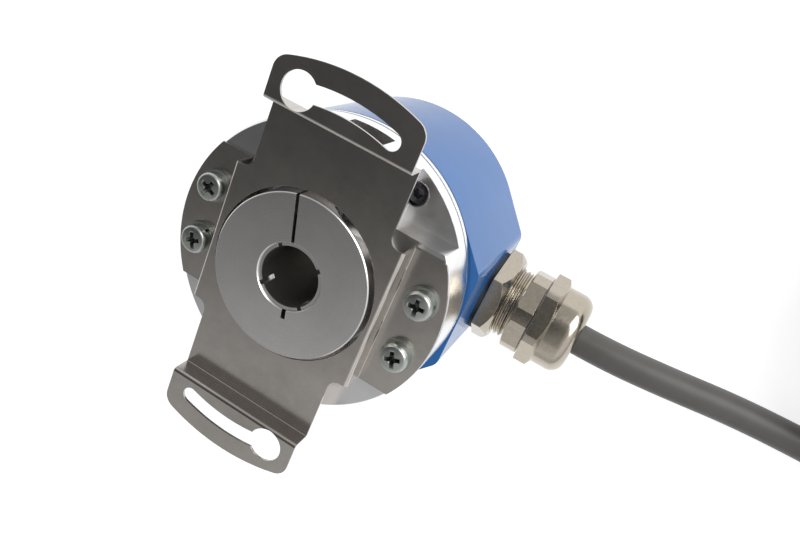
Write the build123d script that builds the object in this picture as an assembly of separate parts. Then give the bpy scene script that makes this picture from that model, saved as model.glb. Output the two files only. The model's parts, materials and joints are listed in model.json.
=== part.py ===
from build123d import *
import os
from math import asin, cos, degrees, hypot, pi, radians, sin, sqrt, tan

# Hollow-shaft rotary encoder. Millimetres, +Z up. The origin is the centre of the
# cover's flat back face. The shaft axis is +Z, the cable gland points along +X and
# the two wings of the stator coupling lie along +Y and -Y.

os.makedirs("parts", exist_ok=True)

# ---------------------------------------------------------------- driving dimensions
BODY_R = 29.0  # 58 mm body
COVER_TOP = 35.8
COVER_WALL = 2.0
GASKET_T = 0.4
FLANGE_BACK = COVER_TOP + GASKET_T
FLANGE_FACE = 48.0
SPIGOT_R = 26.9
SPIGOT_Z = 31.0
TUBE_R = 14.5
TUBE_Z = 29.0
POCKET_FLOOR = 41.4
EDGE = 0.4

FLAT_X = 29.2  # flat of the gland boss on the cover
FLAT_TANGENT = 41.0  # degrees, where the boss leaves the round wall
GLAND_Z = 13.2
GLAND_THREAD_R = 8.0
NUT_X = (30.1, 33.9)
THREAD_END = 36.35
BODY_HEX_X = (37.0, 41.0)
CAP_HEX_X = (41.2, 44.8)
GLAND_END = 51.3
NUT_AF = 19.0
BODY_AF = 17.8
CAP_AF = 19.2

SHAFT_R = 7.5
BORE_R = 6.0  # 12 mm bore
COLLAR_R = 8.6
COLLET_R = 6.65
COLLET_SLOT = 0.9
COLLET_SLOT_FOOT = 50.4
CIRCLIP_GROOVE_R = 7.0
SHAFT_BACK = 18.2
BORE_BOTTOM = 19.6
COLLAR_Z = (44.5, 48.8)
COLLET_TOP = 54.5
CLAMP_R = 16.15
CLAMP_TOP = 54.9
CLAMP_EDGE = 0.2
CLAMP_SLIT = 0.7
CLAMP_SLIT_ANGLE = 104.0
CLAMP_SCREW_OFFSET = 12.3
CLAMP_HEAD_SEAT = 4.5
RELIEF_ANGLE = -78.0  # the notch opposite the slit, where the ring bends
RELIEF_WIDTH = 0.9
RELIEF_R = 8.5

BEARING_OUT_R = 12.0
BEARING_T = 5.0
REAR_BEARING_Z = 32.0
FRONT_BEARING_Z = 39.5
BALL_R = 1.15
BALL_PITCH_R = 9.75
BALL_COUNT = 13

SHEET_T = 0.5
PLATE_TOP = 53.7
WING_TOP = 57.94
WING_HALF = 14.8
WALL_Y = 29.4
WING_END_R = 40.1
TAB_HALF = 14.9
WALL_X = 18.2
TAB_R = 28.9
PLATE_HOLE_R = 16.9
SLOT_R = (32.8, 36.16)
SLOT_END_ANGLE = 73.9
KEYHOLE_ANGLE = 104.9
KEYHOLE_R = 3.5
COUPLING_SCREW_XY = (23.4, 5.9)
SPRING_WASHER_Z = (49.0, 49.7)
BEND_R = 0.45

HOUSING_SCREW_R = 24.9
HOUSING_SCREW_ANGLES = (59.7, 239.7)
HOUSING_SCREW_SEAT = 38.0
PILLAR_R = 3.2  # tapped pillars in the cover
M3_R = 1.5
M2_5_R = 1.25
STANDOFF_R = 23.5
STANDOFF_ANGLES = (35.0, 140.0, 290.0)
DISC_SCREW_R = 9.5
DISC_SCREW_ANGLES = (0, 120, 240)

BOARD_Z = (22.0, 23.6)
DISC_Z = (26.3, 26.9)
DISC_R = 20.0
TRACK_R = 17.4
DISC_WINDOWS = 48
SENSOR_ANGLE = 200.0

CABLE_R = 3.5
CORE_R = 0.65
SLEEVE_R = 4.1
CORE_COUNT = 8

# the coil of spare cable, in two layers of turns lying against each other
COIL_CENTRE = (137.0, 42.0)
COIL_R = (35.0, 42.0)
COIL_TOP = 4 * CABLE_R

# the bare end, which lies on top of the coil
END_R = 40.9
END_ANGLE = 146
CORE_CIRCLE_R = 1.6  # the cores' places inside the jacket
FERRULE_R = 0.4


# --------------------------------------------------------------------------- helpers
def save(node, shape):
    shape.label = node
    export_step(shape, "parts/" + node + ".step")


def at(radius, angle, z=0.0):
    return Pos(radius * cos(radians(angle)), radius * sin(radians(angle)), z)


def rod(radius, z0, z1):
    return Pos(0, 0, (z0 + z1) / 2) * Cylinder(radius, z1 - z0)


def ring(outer, inner, z0, z1):
    return rod(outer, z0, z1) - rod(inner, z0 - 1, z1 + 1)


def slab(x0, x1, y0, y1, z0, z1):
    block = Box(x1 - x0, y1 - y0, z1 - z0)
    return Pos((x0 + x1) / 2, (y0 + y1) / 2, (z0 + z1) / 2) * block


def lathe(*points):
    outline = Polyline(*[(r, 0, z) for r, z in points], close=True)
    return revolve(make_face(outline), Axis.Z)


def along_x(shape, z=GLAND_Z):
    """Lay a shape built along Z on the X axis at height z; its own X becomes Y."""
    return Plane((0, 0, z), x_dir=(0, 1, 0), z_dir=(1, 0, 0)) * shape


def group(shapes):
    return Compound(children=list(shapes))


def hex_prism(across_flats, z0, z1, corner_angle=0.0):
    outline = RegularPolygon(across_flats / sqrt(3), 6, rotation=corner_angle)
    return Pos(0, 0, z0) * extrude(outline, z1 - z0)


def turned_hex(across_flats, z0, z1, corner_angle, bevel_low, bevel_high, corner_r=None, slope=32):
    """A hexagon whose corners are turned off by a bevel at either end."""
    outer = corner_r or across_flats / sqrt(3)
    flat_r = across_flats / 2 - 0.15
    drop = (outer - flat_r) * tan(radians(slope))
    low = drop if bevel_low else 0.0
    high = drop if bevel_high else 0.0
    points = [(0, z0), (flat_r if bevel_low else outer, z0)]
    if bevel_low:
        points.append((outer, z0 + low))
    if bevel_high:
        points.append((outer, z1 - high))
    points += [(flat_r if bevel_high else outer, z1), (0, z1)]
    return hex_prism(across_flats, z0, z1, corner_angle) & lathe(*points)


def ridged_thread(outer, z0, z1, pitch, depth):
    """The outline of a thread as rings of ridges, from the axis outwards."""
    points = [(0, z0), (outer - depth, z0)]
    turns = int((z1 - z0) / pitch)
    for turn in range(turns):
        base = z0 + turn * pitch
        points += [(outer, base + 0.42 * pitch), (outer, base + 0.58 * pitch)]
        points.append((outer - depth, base + pitch))
    points += [(outer - depth, z1), (0, z1)]
    unique = [points[0]]
    for point in points[1:]:
        if hypot(point[0] - unique[-1][0], point[1] - unique[-1][1]) > 1e-6:
            unique.append(point)
    return lathe(*unique)


def socket_screw(shank_r, length, head_r, head_h, key_af):
    """Head on top of z=0, shank below it."""
    head = rod(head_r, 0, head_h)
    head = chamfer(head.edges().group_by(Axis.Z)[-1], 0.25)
    head -= hex_prism(key_af, head_h * 0.45, head_h + 1)
    shank = rod(shank_r, -length, 0)
    shank = chamfer(shank.edges().group_by(Axis.Z)[0], shank_r * 0.3)
    return head + shank


def cross_recess(width, arm, depth, top):
    arms = Rectangle(width, arm) + Rectangle(arm, width)
    arms += Rectangle(arm * 1.9, arm * 1.9, rotation=45)
    return Pos(0, 0, top) * extrude(arms, -depth, taper=14)


def pan_screw(shank_r, length, head_r, head_h):
    head = rod(head_r, 0, head_h)
    head = fillet(head.edges().group_by(Axis.Z)[-1], head_h * 0.62)
    head -= cross_recess(head_r * 1.18, head_r * 0.26, head_h * 0.62, head_h)
    return head + rod(shank_r, -length, 0)


def circlip(inner, outer, z0, thickness, lug_r, lug_at_r, opening):
    """A snap ring with a gap about +X and two eyelets at the gap."""
    clip = ring(outer, inner, z0, z0 + thickness)
    reach = outer + lug_r * 2
    half = radians(opening / 2)
    wedge = Polygon(
        (0, 0),
        (reach, -reach * tan(half)),
        (reach, reach * tan(half)),
        align=None,
    )
    clip -= Pos(0, 0, z0 - 1) * extrude(wedge, thickness + 2)
    for side in (-1, 1):
        eye = at(lug_at_r, side * (opening / 2 + degrees(asin(lug_r / lug_at_r))))
        clip += eye * rod(lug_r, z0, z0 + thickness)
        clip -= eye * rod(lug_r * 0.45, z0 - 1, z0 + thickness + 1)
    return clip


def tube_along(points, radii, radius):
    path = FilletPolyline(*points, radius=radii)
    start = Plane(origin=path @ 0, z_dir=path % 0)
    return sweep(start * Circle(radius), path=path), path.length


def corner_radii(points, largest=None):
    """Arc radii at the inner points: 0.45 of the shorter run over tan(half turn)."""
    vectors = [Vector(*b) - Vector(*a) for a, b in zip(points, points[1:])]
    radii = []
    for before, after in zip(vectors, vectors[1:]):
        turn = radians(before.get_angle(after))
        radius = 0.45 * min(before.length, after.length) / tan(turn / 2)
        radii.append(min(radius, largest) if largest else radius)
    return radii


# ----------------------------------------------------------------------------- cover
def make_cover():
    angle = radians(FLAT_TANGENT)
    touch = (BODY_R * cos(angle), BODY_R * sin(angle))
    corner_y = (BODY_R - FLAT_X * cos(angle)) / sin(angle)
    boss = Polygon(
        (0, 0),
        (touch[0], -touch[1]),
        (FLAT_X, -corner_y),
        (FLAT_X, corner_y),
        touch,
        align=None,
    )
    outline = Circle(BODY_R) + boss
    corners = [v for v in outline.vertices() if abs(v.X - FLAT_X) < 0.01]
    outline = fillet(corners, 3.0)
    shell = extrude(outline, COVER_TOP)
    shell = fillet(shell.edges().group_by(Axis.Z)[0], 1.2)
    shell -= rod(BODY_R - COVER_WALL, COVER_WALL, COVER_TOP + 1)
    for screw_angle in HOUSING_SCREW_ANGLES:
        pillar = at(HOUSING_SCREW_R, screw_angle)
        shell += pillar * rod(PILLAR_R, COVER_WALL - 0.1, SPIGOT_Z)
        shell -= pillar * rod(M2_5_R, 22.0, SPIGOT_Z + 1)
    shell -= along_x(rod(GLAND_THREAD_R, 20, 32))
    return shell


def make_cover_gasket():
    return ring(28.7, 27.1, COVER_TOP, FLANGE_BACK)


# ---------------------------------------------------------------------------- flange
def make_flange():
    body = rod(BODY_R, FLANGE_BACK, FLANGE_FACE)
    body = chamfer(body.edges().group_by(Axis.Z)[-1], EDGE)
    body += rod(SPIGOT_R, SPIGOT_Z, FLANGE_BACK + 0.1)
    body -= ring(21.0, TUBE_R, SPIGOT_Z - 1, 38.0)
    body += rod(TUBE_R, TUBE_Z, SPIGOT_Z + 0.1)
    body -= rod(BEARING_OUT_R, TUBE_Z - 1, FRONT_BEARING_Z + BEARING_T)
    body -= rod(11.0, 40, 46)
    body -= rod(11.5, 45.0, FLANGE_FACE + 1)
    body -= ring(BODY_R + 1, BODY_R - 0.5, 37.4, 37.9)
    body -= ring(12.7, 11.5, 30.0, 31.0)
    # the open pocket beside the gland and the short one behind the upper wing
    body -= slab(11.85, 32, 16.1, 32, POCKET_FLOOR, FLANGE_FACE + 1)
    body -= slab(-4.1, 4.85, 21.0, 32, POCKET_FLOOR, FLANGE_FACE + 1)
    for angle in HOUSING_SCREW_ANGLES:
        hole = at(HOUSING_SCREW_R, angle)
        body -= hole * rod(2.5, HOUSING_SCREW_SEAT, FLANGE_FACE + 1)
        body -= hole * rod(M2_5_R + 0.15, SPIGOT_Z - 1, HOUSING_SCREW_SEAT + 1)
    for angle in STANDOFF_ANGLES:
        body -= at(STANDOFF_R, angle) * rod(M2_5_R, SPIGOT_Z - 1, 36.0)
    for sx in (-1, 1):
        for sy in (-1, 1):
            x, y = COUPLING_SCREW_XY
            body -= Pos(sx * x, sy * y, 0) * rod(M3_R, 41.0, FLANGE_FACE + 1)
    return body


def make_housing_screws():
    screw = socket_screw(M2_5_R, 12.0, 2.25, 2.5, 2.0)
    return group(at(HOUSING_SCREW_R, a, HOUSING_SCREW_SEAT) * screw for a in HOUSING_SCREW_ANGLES)


# -------------------------------------------------------------------- stator coupling
def bent_strip(points, half_width):
    """A folded strip of sheet: its middle line in the local XY plane, centred on Z."""
    line = FilletPolyline(*points, radius=BEND_R)
    return extrude(trace(line, line_width=SHEET_T), half_width, both=True)


def wing_outline():
    """The wing's plan: a strip that ends in an arc about the shaft axis."""
    blank = Pos(0, 40) * Rectangle(2 * WING_HALF, 60) & Circle(WING_END_R)
    tips = blank.vertices().sort_by(Axis.Y)[-2:]
    return fillet(tips, 3.0)


def wing_slot():
    """An arc slot that opens into a round keyhole at one end."""
    middle = (SLOT_R[0] + SLOT_R[1]) / 2
    half = (SLOT_R[1] - SLOT_R[0]) / 2
    sweep_angle = KEYHOLE_ANGLE - SLOT_END_ANGLE
    arc = CenterArc((0, 0), middle, SLOT_END_ANGLE, sweep_angle)
    slot = trace(arc, line_width=2 * half)
    slot += at(middle, SLOT_END_ANGLE) * Circle(half)
    slot += at(middle, KEYHOLE_ANGLE) * Circle(KEYHOLE_R)
    return slot


def make_stator_coupling():
    mid = SHEET_T / 2
    plate_z = PLATE_TOP - mid
    wing_z = WING_TOP - mid
    wall_y = WALL_Y + mid
    wall_x = WALL_X - mid
    wing_line = [(0, plate_z), (wall_y, plate_z), (wall_y, wing_z), (WING_END_R + 2, wing_z)]
    side_line = [(0, plate_z), (wall_x, plate_z)]
    side_line += [(wall_x, FLANGE_FACE + mid), (TAB_R + 2, FLANGE_FACE + mid)]
    half_wing = Plane.YZ * bent_strip(wing_line, WING_HALF)
    half_wing &= extrude(wing_outline(), 80)
    half_wing -= extrude(wing_slot(), 80)
    half_side = Plane.XZ * bent_strip(side_line, TAB_HALF)
    half_side &= rod(TAB_R, 40, 60)
    sheet = half_wing + Rot(0, 0, 180) * half_wing + half_side + Rot(0, 0, 180) * half_side
    # the rounded inner corners where the broad plate narrows to the wings
    flat_x = WALL_X - BEND_R - SHEET_T
    cross = Rectangle(2 * flat_x, 2 * TAB_HALF) + Rectangle(2 * WING_HALF, 2 * (WALL_Y - 1.5))
    inner = [v for v in cross.vertices() if abs(abs(v.X) - WING_HALF) < 0.01]
    inner = [v for v in inner if abs(abs(v.Y) - TAB_HALF) < 0.01]
    cross = fillet(inner, 2.1)
    sheet += Pos(0, 0, PLATE_TOP - SHEET_T) * extrude(cross, SHEET_T)
    sheet -= rod(PLATE_HOLE_R, 50, 56)
    for sx in (-1, 1):
        for sy in (-1, 1):
            x, y = COUPLING_SCREW_XY
            sheet -= Pos(sx * x, sy * y, 0) * rod(1.7, 45, 50)
    return sheet


def at_coupling_screws(shape):
    x, y = COUPLING_SCREW_XY
    places = [(sx * x, sy * y) for sx in (-1, 1) for sy in (-1, 1)]
    turns = (20, 65, 110, 5)
    return group(Pos(px, py, 0) * Rot(0, 0, turn) * shape for (px, py), turn in zip(places, turns))


def make_coupling_screws():
    return at_coupling_screws(Pos(0, 0, SPRING_WASHER_Z[1]) * pan_screw(M3_R, 8.0, 2.9, 2.2))


def make_coupling_washers():
    return at_coupling_screws(ring(3.3, M3_R + 0.1, FLANGE_FACE + SHEET_T, SPRING_WASHER_Z[0]))


def make_spring_washers():
    """Split washers, each cut through at a slant on one side."""
    washer = ring(2.75, M3_R + 0.1, *SPRING_WASHER_Z)
    middle = sum(SPRING_WASHER_Z) / 2
    washer -= Pos(2.2, 0, middle) * Rot(25, 0, 0) * Box(1.6, 0.25, 2)
    return at_coupling_screws(washer)


# ----------------------------------------------------------- shaft and its clamp ring
def make_hollow_shaft():
    shaft = rod(SHAFT_R, SHAFT_BACK, COLLAR_Z[0])
    shaft = chamfer(shaft.edges().group_by(Axis.Z)[0], 0.5)
    shaft += rod(COLLAR_R, *COLLAR_Z)
    shaft += rod(COLLET_R, COLLAR_Z[1], COLLET_TOP)
    shaft -= rod(BORE_R, BORE_BOTTOM, COLLET_TOP + 1)
    half = COLLET_SLOT / 2
    for angle in (39, 129, 219, 309):
        shaft -= Rot(0, 0, angle) * slab(3, 10, -half, half, COLLET_SLOT_FOOT, COLLET_TOP + 1)
    shaft -= ring(SHAFT_R + 1, CIRCLIP_GROOVE_R, 31.0, 32.0)
    return shaft


def clamp_frame(shape):
    """Place a shape built along Z on the clamp screw's axis, head end first."""
    across = CLAMP_SLIT_ANGLE - 90
    height = (COLLAR_Z[1] + CLAMP_TOP) / 2
    laid = Plane((0, CLAMP_SCREW_OFFSET, height), x_dir=(0, 1, 0), z_dir=(1, 0, 0)) * shape
    return Rot(0, 0, across) * laid


def make_clamp_ring():
    clamp = rod(CLAMP_R, COLLAR_Z[1], CLAMP_TOP)
    clamp = chamfer(clamp.edges().group_by(Axis.Z)[-1], CLAMP_EDGE)
    clamp -= rod(COLLET_R, COLLAR_Z[1] - 1, CLAMP_TOP + 1)
    mouth = COLLET_R + CLAMP_EDGE
    foot = CLAMP_TOP - CLAMP_EDGE
    clamp -= lathe((0, foot), (COLLET_R, foot), (mouth, CLAMP_TOP), (0, CLAMP_TOP))
    slit = slab(COLLET_R - 1, CLAMP_R + 1, -CLAMP_SLIT / 2, CLAMP_SLIT / 2, 40, 60)
    clamp -= Rot(0, 0, CLAMP_SLIT_ANGLE) * slit
    relief = slab(COLLET_R - 1, RELIEF_R, -RELIEF_WIDTH / 2, RELIEF_WIDTH / 2, 40, 60)
    clamp -= Rot(0, 0, RELIEF_ANGLE) * relief
    clamp -= clamp_frame(rod(2.6, CLAMP_HEAD_SEAT, 20))
    clamp -= clamp_frame(rod(M2_5_R + 0.15, 0, CLAMP_HEAD_SEAT + 0.5))
    clamp -= clamp_frame(rod(M2_5_R, -8.5, 1))
    return clamp


def make_clamp_screw():
    return clamp_frame(Pos(0, 0, CLAMP_HEAD_SEAT) * socket_screw(M2_5_R, 12.0, 2.25, 2.5, 2.0))


# -------------------------------------------------------------------------- bearings
def raceway(outer, inner, z0):
    race = ring(outer, inner, z0, z0 + BEARING_T)
    groove = Pos(0, 0, z0 + BEARING_T / 2) * Torus(BALL_PITCH_R, BALL_R + 0.1)
    return race - groove


def make_bearing(z0):
    """Inner ring, outer ring, balls, cage and shields of one 15 x 24 x 5 bearing."""
    middle = z0 + BEARING_T / 2
    step = 360 / BALL_COUNT
    places = [at(BALL_PITCH_R, i * step, middle) for i in range(BALL_COUNT)]
    inner_ring = raceway(8.95, SHAFT_R, z0)
    outer_ring = raceway(BEARING_OUT_R, 10.55, z0)
    shield = ring(10.55, 9.05, 0, 0.25)
    shields = group(Pos(0, 0, z) * shield for z in (z0 + 0.1, z0 + BEARING_T - 0.35))
    cage = ring(10.2, 9.3, middle - 1.7, middle + 1.7)
    pocket = Rot(0, 90, 0) * Cylinder(BALL_R + 0.05, 4)
    for i in range(BALL_COUNT):
        cage -= Rot(0, 0, i * step) * Pos(BALL_PITCH_R, 0, middle) * pocket
    balls = group(place * Sphere(BALL_R) for place in places)
    return inner_ring, outer_ring, balls, cage, shields


def make_bearing_spacers():
    z0 = REAR_BEARING_Z + BEARING_T
    inner = ring(8.8, SHAFT_R, z0, FRONT_BEARING_Z)
    outer = ring(BEARING_OUT_R, 10.8, z0, FRONT_BEARING_Z)
    return inner, outer


def make_preload_washer():
    return lathe((10.5, 31.05), (11.9, 31.65), (11.9, 31.95), (10.5, 31.35))


def make_shaft_seal():
    seal = ring(11.5, 10.6, 45.1, 47.7)
    seal += lathe((10.7, 47.0), (10.7, 47.7), (9.2, 47.7), (8.65, 46.6), (8.65, 46.2), (9.3, 46.9))
    return seal


# ------------------------------------------------------------------ disc and its hub
def make_disc_hub():
    hub = ring(10.4, SHAFT_R, DISC_Z[1], 29.4)
    hub += ring(8.6, SHAFT_R, 25.5, DISC_Z[1] + 0.1)
    hub -= Rot(0, 0, 90) * along_x(rod(1.0, 7, 11), 28.15)
    for angle in DISC_SCREW_ANGLES:
        hub -= at(DISC_SCREW_R, angle) * rod(0.6, DISC_Z[1] - 1, 29)
    return hub


def make_disc_hub_screw():
    grub = rod(1.0, SHAFT_R, 10.3) - hex_prism(0.9, 9.4, 11)
    return Rot(0, 0, 90) * along_x(grub, 28.15)


def make_code_disc():
    disc = ring(DISC_R, 8.6, *DISC_Z)
    window = slab(TRACK_R - 1.2, TRACK_R + 1.2, -0.45, 0.45, 20, 30)
    for i in range(DISC_WINDOWS):
        disc -= Rot(0, 0, i * 360 / DISC_WINDOWS) * window
    disc -= at(14.6, 3.75) * rod(0.5, 20, 30)
    for angle in DISC_SCREW_ANGLES:
        disc -= at(DISC_SCREW_R, angle) * rod(0.6, 20, 30)
    return disc


def make_disc_clamp():
    plate = ring(10.6, 8.6, 25.5, DISC_Z[0])
    for angle in DISC_SCREW_ANGLES:
        plate -= at(DISC_SCREW_R, angle) * rod(0.6, 20, 30)
    return plate


def make_disc_screws():
    screw = rod(1.0, -0.7, 0) + rod(0.6, 0, 2.9)
    screw -= Pos(0, 0, -0.7) * slab(-1.2, 1.2, -0.12, 0.12, -0.1, 0.3)
    return group(at(DISC_SCREW_R, angle, 25.5) * screw for angle in DISC_SCREW_ANGLES)


# ------------------------------------------------------------------ board and optics
def make_board():
    board = ring(26.3, 9.3, *BOARD_Z)
    for angle in HOUSING_SCREW_ANGLES:
        board -= at(HOUSING_SCREW_R, angle) * rod(3.9, 20, 25)
        outward = Rot(0, 0, angle)
        board -= outward * slab(HOUSING_SCREW_R, 30, -3.9, 3.9, 20, 25)
    for angle in STANDOFF_ANGLES:
        board -= at(STANDOFF_R, angle) * rod(M2_5_R + 0.25, 20, 25)
    return board


def make_standoffs():
    """Hexagonal posts with a stud at the flange and a tapped hole for the board."""
    post = hex_prism(4.5, BOARD_Z[1], SPIGOT_Z) + rod(M2_5_R, SPIGOT_Z - 0.1, 35.0)
    post -= rod(M2_5_R, 23, 29)
    return group(at(STANDOFF_R, angle) * post for angle in STANDOFF_ANGLES)


def make_board_screws():
    screw = Rot(180, 0, 0) * pan_screw(M2_5_R, 6.0, 2.3, 1.7)
    return group(at(STANDOFF_R, angle, BOARD_Z[0]) * screw for angle in STANDOFF_ANGLES)


def beside_sensor(shape):
    return Rot(0, 0, SENSOR_ANGLE) * shape


def make_sensor():
    chip = slab(14.2, 20.4, -4.0, 4.0, BOARD_Z[1], 24.9)
    chip = chamfer(chip.edges().group_by(Axis.Z)[-1], 0.2)
    return beside_sensor(chip)


def make_mask():
    mask = slab(15.2, 19.4, -3.2, 3.2, 24.9, 25.9)
    for row in (-1.8, -0.6, 0.6, 1.8):
        mask -= slab(16.4, 18.4, row - 0.25, row + 0.25, 24, 27)
    return beside_sensor(mask)


def make_light_holder():
    foot = slab(21.4, 25.6, -4.5, 4.5, BOARD_Z[1], 30.6)
    arm = slab(14.6, 22.0, -3.5, 3.5, 28.3, 30.6)
    holder = foot + arm
    holder = fillet(holder.edges().filter_by(Axis.Z).group_by(Axis.X)[0], 1.2)
    holder -= at(TRACK_R, 0) * rod(1.55, 25, 32)
    return beside_sensor(holder)


def make_light_emitter():
    body = rod(1.5, 28.6, 31.2) + rod(1.9, 30.7, 31.2)
    lens = Pos(0, 0, 28.6) * Sphere(1.45) & slab(-3, 3, -3, 3, 27, 28.7)
    return beside_sensor(at(TRACK_R, 0) * (body + lens))


def make_board_chips():
    places = [(15.5, 250), (15.5, 292), (16.5, 90), (17.5, 128)]
    chip = chamfer(slab(-2.6, 2.6, -2.0, 2.0, BOARD_Z[1], 25.0).edges().group_by(Axis.Z)[-1], 0.2)
    return group(at(r, a) * Rot(0, 0, a) * chip for r, a in places)


def make_capacitors():
    places = [(13.5, a) for a in (20, 62, 165, 225, 270, 318)]
    block = slab(-0.8, 0.8, -1.3, 1.3, BOARD_Z[1], 24.7)
    return group(at(r, a) * Rot(0, 0, a) * block for r, a in places)


def make_header():
    shell = slab(10.6, 16.4, -6.0, 6.0, 18.2, BOARD_Z[0])
    shell -= slab(11.4, 15.6, -5.2, 5.2, 17, 21.0)
    return shell


def make_plug():
    plug = slab(11.5, 15.5, -5.1, 5.1, 16.4, 20.8)
    for i in range(4):
        for x in (12.5, 14.5):
            plug -= Pos(x, -3.75 + 2.5 * i, 0) * rod(CORE_R, 15, 18)
    return plug


def make_inner_wires():
    wires = []
    for i in range(4):
        y = -3.75 + 2.5 * i
        for x, dz in ((12.5, -0.9), (14.5, 0.9)):
            exit_point = (20.8, y * 0.56, GLAND_Z + dz)
            points = [exit_point, (x + 3.0, y * 0.9, GLAND_Z + dz)]
            points += [(x, y, GLAND_Z + dz + 1.0), (x, y, 18.0)]
            wires.append(tube_along(points, corner_radii(points, 1.4), CORE_R)[0])
    return group(wires)


# ----------------------------------------------------------------------------- gland
def make_gland_gasket():
    return along_x(ring(9.3, GLAND_THREAD_R, FLAT_X, NUT_X[0]))


def make_gland_locknut():
    nut = turned_hex(NUT_AF, *NUT_X, -5.0, False, True, slope=45)
    nut -= rod(GLAND_THREAD_R, 20, 40)
    return along_x(nut)


def make_gland_body():
    body = rod(GLAND_THREAD_R, 22.0, NUT_X[1])
    body += ridged_thread(GLAND_THREAD_R, NUT_X[1], THREAD_END, 1.0, 0.55)
    body += rod(7.3, NUT_X[1], BODY_HEX_X[0] + 0.2)
    body += turned_hex(BODY_AF, *BODY_HEX_X, 18.3, True, False, corner_r=9.5)
    body += rod(7.9, BODY_HEX_X[1] - 0.1, 46.0)
    body -= rod(4.3, 20, 50)
    body -= rod(5.55, 40.2, 50)
    return along_x(body)


def make_gland_seal():
    return along_x(lathe((3.5, 40.2), (5.5, 40.2), (5.5, 47.0), (4.4, 49.8), (3.5, 49.8)))


def make_gland_claw():
    claw = lathe((5.6, 46.2), (6.6, 46.2), (6.6, 47.1), (4.8, 50.0), (4.5, 50.0), (5.6, 47.1))
    for i in range(8):
        claw -= Rot(0, 0, i * 45) * slab(3, 8, -0.3, 0.3, 47.3, 51)
    return along_x(claw)


def make_gland_cap():
    cap = turned_hex(CAP_AF, *CAP_HEX_X, 36.5, False, True, corner_r=10.6)
    dome = rod(9.2, CAP_HEX_X[1] - 0.3, GLAND_END)
    dome = fillet(dome.edges().group_by(Axis.Z)[-1], 3.0)
    cap += dome
    cap -= rod(7.95, 40, 46.8)
    cap -= lathe((0, 46.7), (7.0, 46.7), (4.7, 50.3), (0, 50.3))
    cap -= rod(3.9, 40, 60)
    return along_x(cap)


# ----------------------------------------------------------------------------- cable
def around_coil(radius, angle, z):
    x, y = COIL_CENTRE
    return (x + radius * cos(radians(angle)), y + radius * sin(radians(angle)), z)


def cable_route():
    """The free lead from the gland's mouth down to the coil."""
    return [
        (GLAND_END, 0, GLAND_Z),
        (58.3, 0, GLAND_Z),
        (71.0, 0.3, 11.2),
        (88.0, 0.5, 6.6),
        (105.0, 0, CABLE_R),
        (120.0, 0, CABLE_R),
    ]


def cable_tail_route():
    """The free end, which climbs over the coil's top layer and lies along it."""
    return [
        around_coil(42.8, -34, 10.7),
        around_coil(42.9, -12, 12.1),
        around_coil(42.9, 11, 15.0),
        around_coil(42.5, 34, 17.3),
        around_coil(42.0, 57, 17.8),
        around_coil(41.4, 79, 17.7),
        around_coil(41.0, 101, 17.7),
        around_coil(END_R, 124, 18.1),
        around_coil(END_R, END_ANGLE, 18.3),
    ]


def make_coil():
    low = COIL_R[0] - CABLE_R
    high = COIL_R[1] + CABLE_R
    coil = ring(high, low, 0, COIL_TOP)
    coil = fillet(coil.edges(), 2.5)
    return Pos(COIL_CENTRE[0], COIL_CENTRE[1], 0) * coil


def cord_tube(name, points):
    radii = corner_radii(points)
    shape, length = tube_along(points, radii, CABLE_R)
    expected = pi * CABLE_R**2 * length
    print(name, "radii", [round(r, 1) for r in radii])
    print(name, "length", round(length, 2), "volume", round(shape.volume), "expected", round(expected))
    return shape


def end_frame():
    """Where the jacket ends: its last point and its direction."""
    points = cable_tail_route()
    last = Vector(*points[-1])
    heading = (last - Vector(*points[-2])).normalized()
    flat = Vector(heading.X, heading.Y, 0).normalized()
    return last, flat


def make_end_sleeve():
    last, flat = end_frame()
    sleeve = ring(SLEEVE_R, CABLE_R, -11.0, 0.0)
    sleeve += lathe((3.2, -0.01), (SLEEVE_R, -0.01), (3.7, 4.0), (3.2, 4.0))
    place = Plane(origin=last, x_dir=flat.cross(Vector(0, 0, 1)), z_dir=flat)
    return place * sleeve


def core_route(i):
    """One insulated core: out of the sleeve, down onto the coil and along its top."""
    last, flat = end_frame()
    side = Vector(-flat.Y, flat.X, 0)
    angle = radians(45 * i + 22.5)
    dy = CORE_CIRCLE_R * cos(angle)
    dz = CORE_CIRCLE_R * sin(angle)
    # the fan's places alternate between the upper four cores and the lower four
    column, row = (i, 0) if i < 4 else (7 - i, 1)
    place = 3.5 - 2 * column - row
    start = last + flat * 0.2 + side * dy + Vector(0, 0, dz)
    bend = last + flat * 6.0 + side * dy * 1.15 + Vector(0, 0, dz - 0.5)
    lying = COIL_TOP + CORE_R
    return [
        tuple(start),
        tuple(bend),
        around_coil(END_R - place * 0.95, END_ANGLE + 20, lying + 1.6 - 1.2 * row),
        around_coil(END_R - 0.8 - place * 1.4, END_ANGLE + 33, lying + 0.2),
        around_coil(END_R - 1.6 - place * 1.75, END_ANGLE + 47, lying + 0.1),
    ]


def make_lead_cores():
    routes = [core_route(i) for i in range(CORE_COUNT)]
    return group(tube_along(r, corner_radii(r, 9.0), CORE_R)[0] for r in routes)


def make_lead_ferrules():
    ferrules = []
    for i in range(CORE_COUNT):
        before, tip = [Vector(*p) for p in core_route(i)[-2:]]
        ferrules.append(Plane(origin=tip, z_dir=tip - before) * rod(FERRULE_R, 0, 5.0))
    return group(ferrules)


def make_cable_lead_in():
    return along_x(rod(CABLE_R, 21.0, GLAND_END))


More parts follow.
